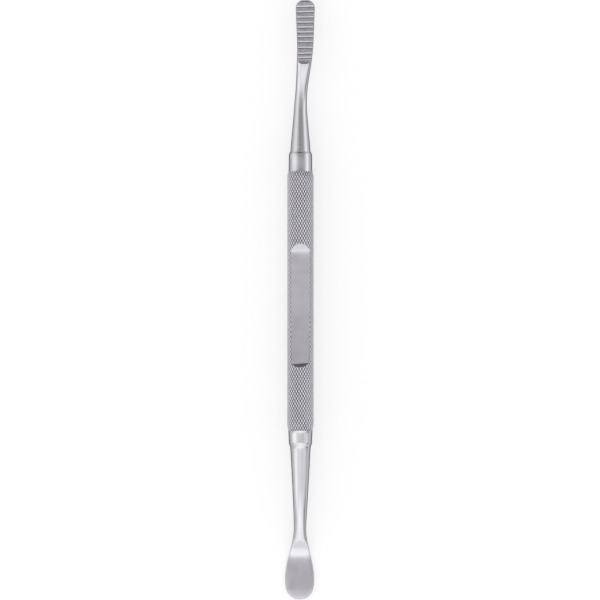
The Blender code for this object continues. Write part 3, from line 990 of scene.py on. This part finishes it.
@dataclass
class BladeEnd(End):
    """Collar, shank, bent neck and flat oval blade with its ground sole."""

    face: float = -44.05 * MM
    length: float = 45.95 * MM
    collar_length: float = 4.8 * MM
    profile: Stations = (
        (-5.2, 3.2), (-4.85, 3.25), (-4.8, 3.68), (-4.55, 3.62), (-4.2, 3.58), (-3.6, 3.55),
        (-1.5, 3.475), (-1.0, 3.455), (-0.8, 3.42), (-0.5, 3.3), (-0.2, 3.16), (0.0, 3.095),
        (0.3, 3.05), (1.65, 2.96),
    )
    shank_diameter: float = 5.92 * MM
    waist: tuple[float, float] = (14.85 * MM, 4.55 * MM)
    neck_distance: float = 24.75 * MM
    neck_width: float = 3.7 * MM
    bend_start: float = 8.55 * MM
    ramp_start: float = 23.85 * MM
    ramp_length: float = 10.5 * MM
    ground_start: float = 27.5 * MM
    # Slope of the upper line from the fillet on, at places in millimetres and in degrees
    slopes: Stations = (
        (1.65, 2.7), (12.0, 2.8), (17.0, 4.2), (20.0, 6.2), (23.5, 11.0), (25.5, 15.0),
        (27.7, 19.0), (28.5, 33.0), (29.9, 36.0), (30.8, 25.0), (31.8, 12.5), (33.0, 5.0),
        (34.3, 1.8), (36.3, 0.0),
    )
    facet: tuple[float, float] = (27.6 * MM, 29.8 * MM)  # where the ramp gets its flat top
    # Height of the lower line over the handle's axis, in millimetres
    back_line: Stations = (
        (8.55, -2.6), (15.0, -2.25), (20.0, -2.12), (24.0, -2.3), (28.0, -2.95), (32.0, -3.8),
        (35.0, -4.1), (38.0, -4.12),
    )
    side_offset: float = -0.25 * MM
    width: float = 8.64 * MM
    thickness: float = 1.2 * MM
    squareness: float = 5.0
    tip_round: float = 6.5 * MM
    tip_power: float = 3.0
    edge_drop: float = 0.1 * MM  # of the upper face towards the tip
    edge_thickness: float = 0.55 * MM
    edge_taper: float = 3.0 * MM
    bevel_length: float = 2.2 * MM  # under the tip
    edge_power: float = 12.0
    sole_allowance: float = 0.12 * MM
    slope_ease: float = 0.5 * MM  # half the stretch over which the slopes run in
    cutter_reach: float = 5.0 * MM  # past the tip, and below the table
    cutter_half: float = 9.0 * MM  # half its width

    def blank(self, finish: Material) -> Object:
        """Skin of the whole end before its sole is ground.

        Args:
            finish: Material of the skin.

        Returns:
            The object.
        """
        ramp_end = self.ramp_start + self.ramp_length
        widest = self.length - self.tip_round
        places = self.stations([
            (-1.6 * MM, 6), (0.4 * MM, 26), (self.fillet, 6), (self.ramp_start, 56),
            (ramp_end, 56), (widest, 14),
        ])
        edge_start = self.length - self.edge_taper
        sole = -AXIS_HEIGHT - self.sole_allowance
        blade_top = self.thickness - AXIS_HEIGHT
        bevel = self.length - self.bevel_length
        oval = [(widest, self.width), (self.length, self.width)]
        neck = (self.neck_distance, self.neck_width)
        shank = (self.fillet, self.shank_diameter)
        width = through([shank, self.waist, neck, *oval], places)
        turned = self.turned(places)
        inside = places < self.fillet
        top = np.where(inside, turned / 2, self.upper_line(places, blade_top))
        top = top - through([(edge_start, 0), (self.length, self.edge_drop)], places)
        lower = [(place * MM, height * MM) for place, height in self.back_line]
        back = through([(self.fillet, -self.shank_diameter / 2), *lower], places)
        back = np.where(inside, -turned / 2, back)
        rise = blade_top - self.edge_drop - self.edge_thickness - sole
        back = back + rise * through([(bevel, 0), (self.length, 1)], places)
        side = through([(0, 0), (self.bend_start, 0), (ramp_end, self.side_offset)], places)
        low, high = self.facet
        square = through([(0, ELLIPSE), (low, ELLIPSE), (high, self.squareness)], places)
        end = rounding(places, self.length, self.tip_round, self.tip_power)
        edge = rounding(places, self.length, self.tip_round, self.edge_power)
        rings = self.sections(
            self.face - places, (side, (top + back) / 2),
            (np.where(inside, turned, width * end), np.where(inside, turned, (top - back) * edge)),
            (square, square),
        )
        return tube("blade_end", rings, finish)

    def upper_line(self, places: np.ndarray, end: float) -> np.ndarray:
        """Height of the upper line over the handle's axis.

        The line falls by the tangent of its slope, summed along the end in short steps. The
        fall is scaled so that the line comes out at the height of the blade.

        Args:
            places: Distances from the collar's outer end.
            end: Height of the blade's upper face.

        Returns:
            The height at each place.
        """
        slopes = in_metres(self.slopes)
        fall = climbed(slopes, places, self.slope_ease)
        whole = climbed(slopes, np.array([slopes[-1][0]]), self.slope_ease)[0]
        start = self.shank_diameter / 2
        return start - fall * (start - end) / whole

    def sole(self, finish: Material) -> Object:
        """Cutter that grinds the underside level with the table.

        Args:
            finish: Material of the ground surface.

        Returns:
            The object.
        """
        near = self.face - self.bend_start
        far = self.face - self.length - self.cutter_reach
        low = -self.cutter_reach
        outline = np.array([[near, 0.0], [far, 0.0], [far, low], [near, low]])
        across = np.array([-self.cutter_half, self.cutter_half])
        return drawn_across("sole", np.stack([outline, outline]), across, finish)

    def build(self, finishes: dict[str, Material]) -> Object:
        """Forges the end and grinds its sole.

        Args:
            finishes: Materials by the name of the finish.

        Returns:
            The finished skin.
        """
        piece = self.blank(finishes["turned"])
        carve(piece, self.sole(finishes["ground"]), Cut.AWAY)
        return piece

    def grind(self, piece: Object, finish: Material) -> None:
        """Gives the blade, from its ramp to the tip, the ground finish.

        Args:
            piece: The finished skin.
            finish: Material of the blade.
        """
        mesh = piece.data
        y = read_all(mesh.polygons, "center", np.float64, 3)[1::3]
        index = read_all(mesh.polygons, "material_index")
        index[y < self.face - self.ground_start] = mesh.materials.find(finish.name)
        mesh.polygons.foreach_set("material_index", index)


@dataclass
class Instrument:
    """The whole instrument, joined to one closed skin."""

    grip: Grip = field(default_factory=Grip)
    file_end: FileEnd = field(default_factory=FileEnd)
    blade_end: BladeEnd = field(default_factory=BladeEnd)
    finishes: Finishes = field(default_factory=Finishes)
    crease_angle: float = math.radians(28)

    def build(self) -> None:
        """Builds grip and ends, joins them and hands the skin to the frame.

        The skin rides on the body and replaces the solid.
        """
        dressed = {name: finish.material() for name, finish in vars(self.finishes).items()}
        skin = self.grip.build(dressed)
        carve(skin, self.file_end.build(dressed), Cut.JOIN)
        carve(skin, self.blade_end.build(dressed), Cut.JOIN)
        skin.name = "bone_curette_skin"
        skin.data.name = skin.name
        self.crease(skin.data)
        self.blade_end.grind(skin, dressed["ground"])
        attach(skin, BODY)
        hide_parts(NODE)
        log.info("%s: %d faces, %d finishes", skin.name, len(skin.data.polygons),
                 len(skin.data.materials))

    def crease(self, mesh: Mesh) -> None:
        """Shades the skin smooth, with creases at sharp bends and between two finishes.

        An edge is a crease if the lowest and the highest finish number of its faces differ.

        Args:
            mesh: The mesh of the skin.
        """
        mesh.shade_smooth()
        mesh.set_sharp_from_angle(angle=self.crease_angle)
        finish = read_all(mesh.polygons, "material_index")
        of_corner = np.repeat(finish, read_all(mesh.polygons, "loop_total"))
        edge = read_all(mesh.loops, "edge_index")
        low = np.full(len(mesh.edges), finish.max())
        high = np.full(len(mesh.edges), finish.min())
        np.minimum.at(low, edge, of_corner)
        np.maximum.at(high, edge, of_corner)
        sharp = mesh.attributes["sharp_edge"].data
        sharp.foreach_set("value", read_all(sharp, "value", bool) | (low != high))


@dataclass(frozen=True)
class Panel:
    """One panel of the tent, which stands across the instrument at an x of the direction."""

    x: float
    levels: Stations  # y of a direction, and the brightness there


@dataclass
class Studio:
    """White table under a soft tent of light, and a camera with a long lens straight above."""

    table_size: float = 6.0
    table_colour: tuple[float, float, float] = (0.93, 0.93, 0.93)
    table_roughness: float = 0.9
    picture_width: float = 0.18  # of the table that the photograph shows
    centre: tuple[float, float] = (-0.135 * MM, -0.105 * MM)
    lens: float = 1200.0  # in millimetres, as the sensor's width
    sensor_width: float = 36.0
    # The tent from left to right. The brightness blends from each panel to the next, and the
    # blade's end of the room is at y -1 and the file's at y 1.
    panels: tuple[Panel, ...] = (
        Panel(-1.0, ((-1.0, 0.45), (-0.3, 0.5), (-0.12, 0.6), (-0.095, 1.05), (-0.07, 1.78),
                     (-0.03, 1.78), (0.0, 1.5), (0.1, 1.3), (1.0, 1.3))),
        Panel(-0.93, ((-1.0, 0.8), (-0.35, 0.95), (-0.18, 0.95), (-0.12, 1.55), (-0.08, 1.95),
                      (-0.03, 1.88), (0.0, 1.5), (0.1, 1.38), (1.0, 1.3))),
        Panel(-0.8, ((-1.0, 1.2), (-0.4, 1.42), (-0.19, 1.4), (-0.13, 1.86), (-0.045, 1.97),
                     (0.0, 1.5), (0.1, 1.38), (1.0, 1.2))),
        Panel(-0.5, ((-1.0, 1.2), (-0.45, 1.65), (-0.2, 1.66), (-0.14, 1.42), (-0.05, 1.2),
                     (0.0, 1.05), (0.1, 0.85), (1.0, 0.5))),
        Panel(-0.15, ((-1.0, 1.36), (-0.94, 1.38), (-0.86, 1.68), (-0.6, 1.78), (-0.45, 1.79),
                      (-0.33, 1.85), (-0.17, 1.87), (-0.09, 1.15), (0.0, 0.66), (0.07, 0.56),
                      (0.15, 0.45), (0.3, 0.5), (0.6, 0.62), (0.78, 0.5), (0.9, 0.2),
                      (1.0, 0.1))),
        Panel(0.45, ((-1.0, 1.3), (-0.45, 1.7), (-0.19, 1.6), (-0.14, 1.35), (-0.09, 1.05),
                     (0.0, 0.63), (0.1, 0.55), (0.4, 0.62), (0.75, 0.6), (0.9, 0.3),
                     (1.0, 0.2))),
        Panel(0.67, ((-1.0, 1.1), (-0.42, 1.62), (-0.18, 1.33), (-0.1, 1.3), (-0.05, 1.22),
                     (0.0, 0.68), (0.1, 0.8), (1.0, 0.5))),
        Panel(0.87, ((-1.0, 0.7), (-0.38, 0.98), (-0.17, 0.88), (-0.13, 1.15), (-0.05, 1.42),
                     (0.0, 1.2), (0.1, 1.55), (1.0, 1.2))),
        Panel(0.95, ((-1.0, 0.25), (-0.32, 0.3), (-0.15, 0.45), (-0.12, 0.75), (-0.07, 1.15),
                     (-0.04, 1.5), (0.0, 1.95), (0.1, 1.7), (1.0, 1.5))),
        Panel(1.0, ((-1.0, 0.2), (-0.3, 0.22), (-0.14, 0.3), (-0.07, 0.7), (-0.035, 1.15),
                    (0.0, 1.66), (0.1, 1.33), (1.0, 1.3))),
    )
    white_share: float = 0.6  # of the table that shows pure white, the rest takes the light
    grey_tint: tuple[float, float, float] = (1.0, 0.985, 1.01)
    bright_tint: tuple[float, float, float] = (0.985, 0.99, 1.02)
    tinted: tuple[float, float] = (0.8, 1.6)  # levels between which the tint changes
    ceiling: float = 2.0  # brightness that a ramp's full value stands for

    def table(self) -> None:
        """Makes the pale table."""
        half = self.table_size / 2
        mesh = bpy.data.meshes.new("table")
        square = [(-half, -half, 0), (half, -half, 0), (half, half, 0), (-half, half, 0)]
        mesh.from_pydata(square, [], [(0, 1, 2, 3)])
        table = bpy.data.objects.new("table", mesh)
        bpy.context.scene.collection.objects.link(table)
        paint = bpy.data.materials.new("white_table")
        paint.use_nodes = True
        fill(paint.node_tree.nodes["Principled BSDF"], {
            "Base Color": (*self.table_colour, 1.0),
            "Roughness": self.table_roughness,
            "Specular IOR Level": 0.0,
        })
        self.whiten(paint.node_tree)
        mesh.materials.append(paint)

    def whiten(self, tree: NodeTree) -> None:
        """Lets a share of the table show pure white, to the camera as to metal and glass.

        The share is the greatest of the three ray flags times the fixed share, so the rest of the
        table keeps the object's shadow.

        Args:
            tree: Node tree of the table's material.
        """
        rays = tree.nodes.new("ShaderNodeLightPath").outputs
        seen = rays["Is Camera Ray"]
        for name in ("Is Glossy Ray", "Is Transmission Ray"):
            seen = math_node(tree, "MAXIMUM", seen, rays[name])
        white = tree.nodes.new("ShaderNodeEmission")
        both = fill(tree.nodes.new("ShaderNodeMixShader"), {
            "Fac": math_node(tree, "MULTIPLY", seen, self.white_share),
            1: tree.nodes["Principled BSDF"].outputs["BSDF"],
            2: white.outputs["Emission"],
        })
        fill(tree.nodes["Material Output"], {"Surface": both.outputs["Shader"]})

    def light(self) -> None:
        """Lights the scene with a tent that changes along the instrument and across it.

        Each panel's brightness is a ramp over the y of the direction. From one panel to the next
        it blends over a smooth step of the direction's x.
        """
        world = bpy.data.worlds.new("tent")
        bpy.context.scene.world = world
        world.use_nodes = True
        tree = world.node_tree
        direction = tree.nodes.new("ShaderNodeTexCoord").outputs["Generated"]
        way = fill(tree.nodes.new("ShaderNodeSeparateXYZ"), {"Vector": direction}).outputs
        place = range_node(tree, way["Y"], -1.0, 1.0)
        light = self.ramp(tree, place, self.panels[0].levels)
        for last, panel in zip(self.panels, self.panels[1:]):
            share = range_node(tree, way["X"], last.x, panel.x, smooth=True)
            light = mix_node(tree, share, light, self.ramp(tree, place, panel.levels))
        fill(tree.nodes["Background"], {"Color": light, "Strength": self.ceiling})

    def ramp(self, tree: NodeTree, place: NodeSocket, stations: Stations) -> NodeSocket:
        """Colour ramp through brightness stations.

        Args:
            tree: Node tree that takes the ramp.
            place: Place along the ramp, from 0 to 1.
            stations: The y of a direction, from -1 to 1, and the brightness there.

        Returns:
            The socket with the colour.
        """
        node = fill(tree.nodes.new("ShaderNodeValToRGB"), {"Fac": place})
        steps = node.color_ramp.elements
        steps[0].color = self.shade(stations[0][1])
        steps[1].color = self.shade(stations[-1][1])
        for y, level in stations[1:-1]:
            steps.new((y + 1) / 2).color = self.shade(level)
        return node.outputs["Color"]

    def shade(self, level: float) -> tuple[float, float, float, float]:
        """Colour of the tent at a level: cool where it is bright and a little warm where grey.

        Args:
            level: Brightness, up to the ceiling.

        Returns:
            Red, green, blue and alpha for a ramp that is scaled by the ceiling.
        """
        share = np.interp(level, self.tinted, (0, 1))
        tint = np.array(self.grey_tint) * (1 - share) + np.array(self.bright_tint) * share
        return (*(tint * level / self.ceiling), 1.0)

    def camera(self) -> None:
        """Places the camera over the middle of the picture, at the handle axis's true scale."""
        data = bpy.data.cameras.new("camera")
        data.lens = self.lens
        data.sensor_width = self.sensor_width
        distance = self.picture_width * self.lens / self.sensor_width
        data.clip_start = 0.1
        data.clip_end = 100.0
        camera = bpy.data.objects.new("camera", data)
        bpy.context.scene.collection.objects.link(camera)
        camera.location = (*self.centre, AXIS_HEIGHT + distance)
        bpy.context.scene.camera = camera

    def build(self) -> None:
        """Sets the table, the light and the camera."""
        self.table()
        self.light()
        self.camera()
        bpy.context.scene.view_settings.view_transform = "Standard"


def main() -> None:
    """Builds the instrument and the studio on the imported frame."""
    logging.basicConfig(level=logging.INFO, format="%(name)s %(message)s")
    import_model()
    Instrument().build()
    Studio().build()


if __name__ == "__main__":
    main()
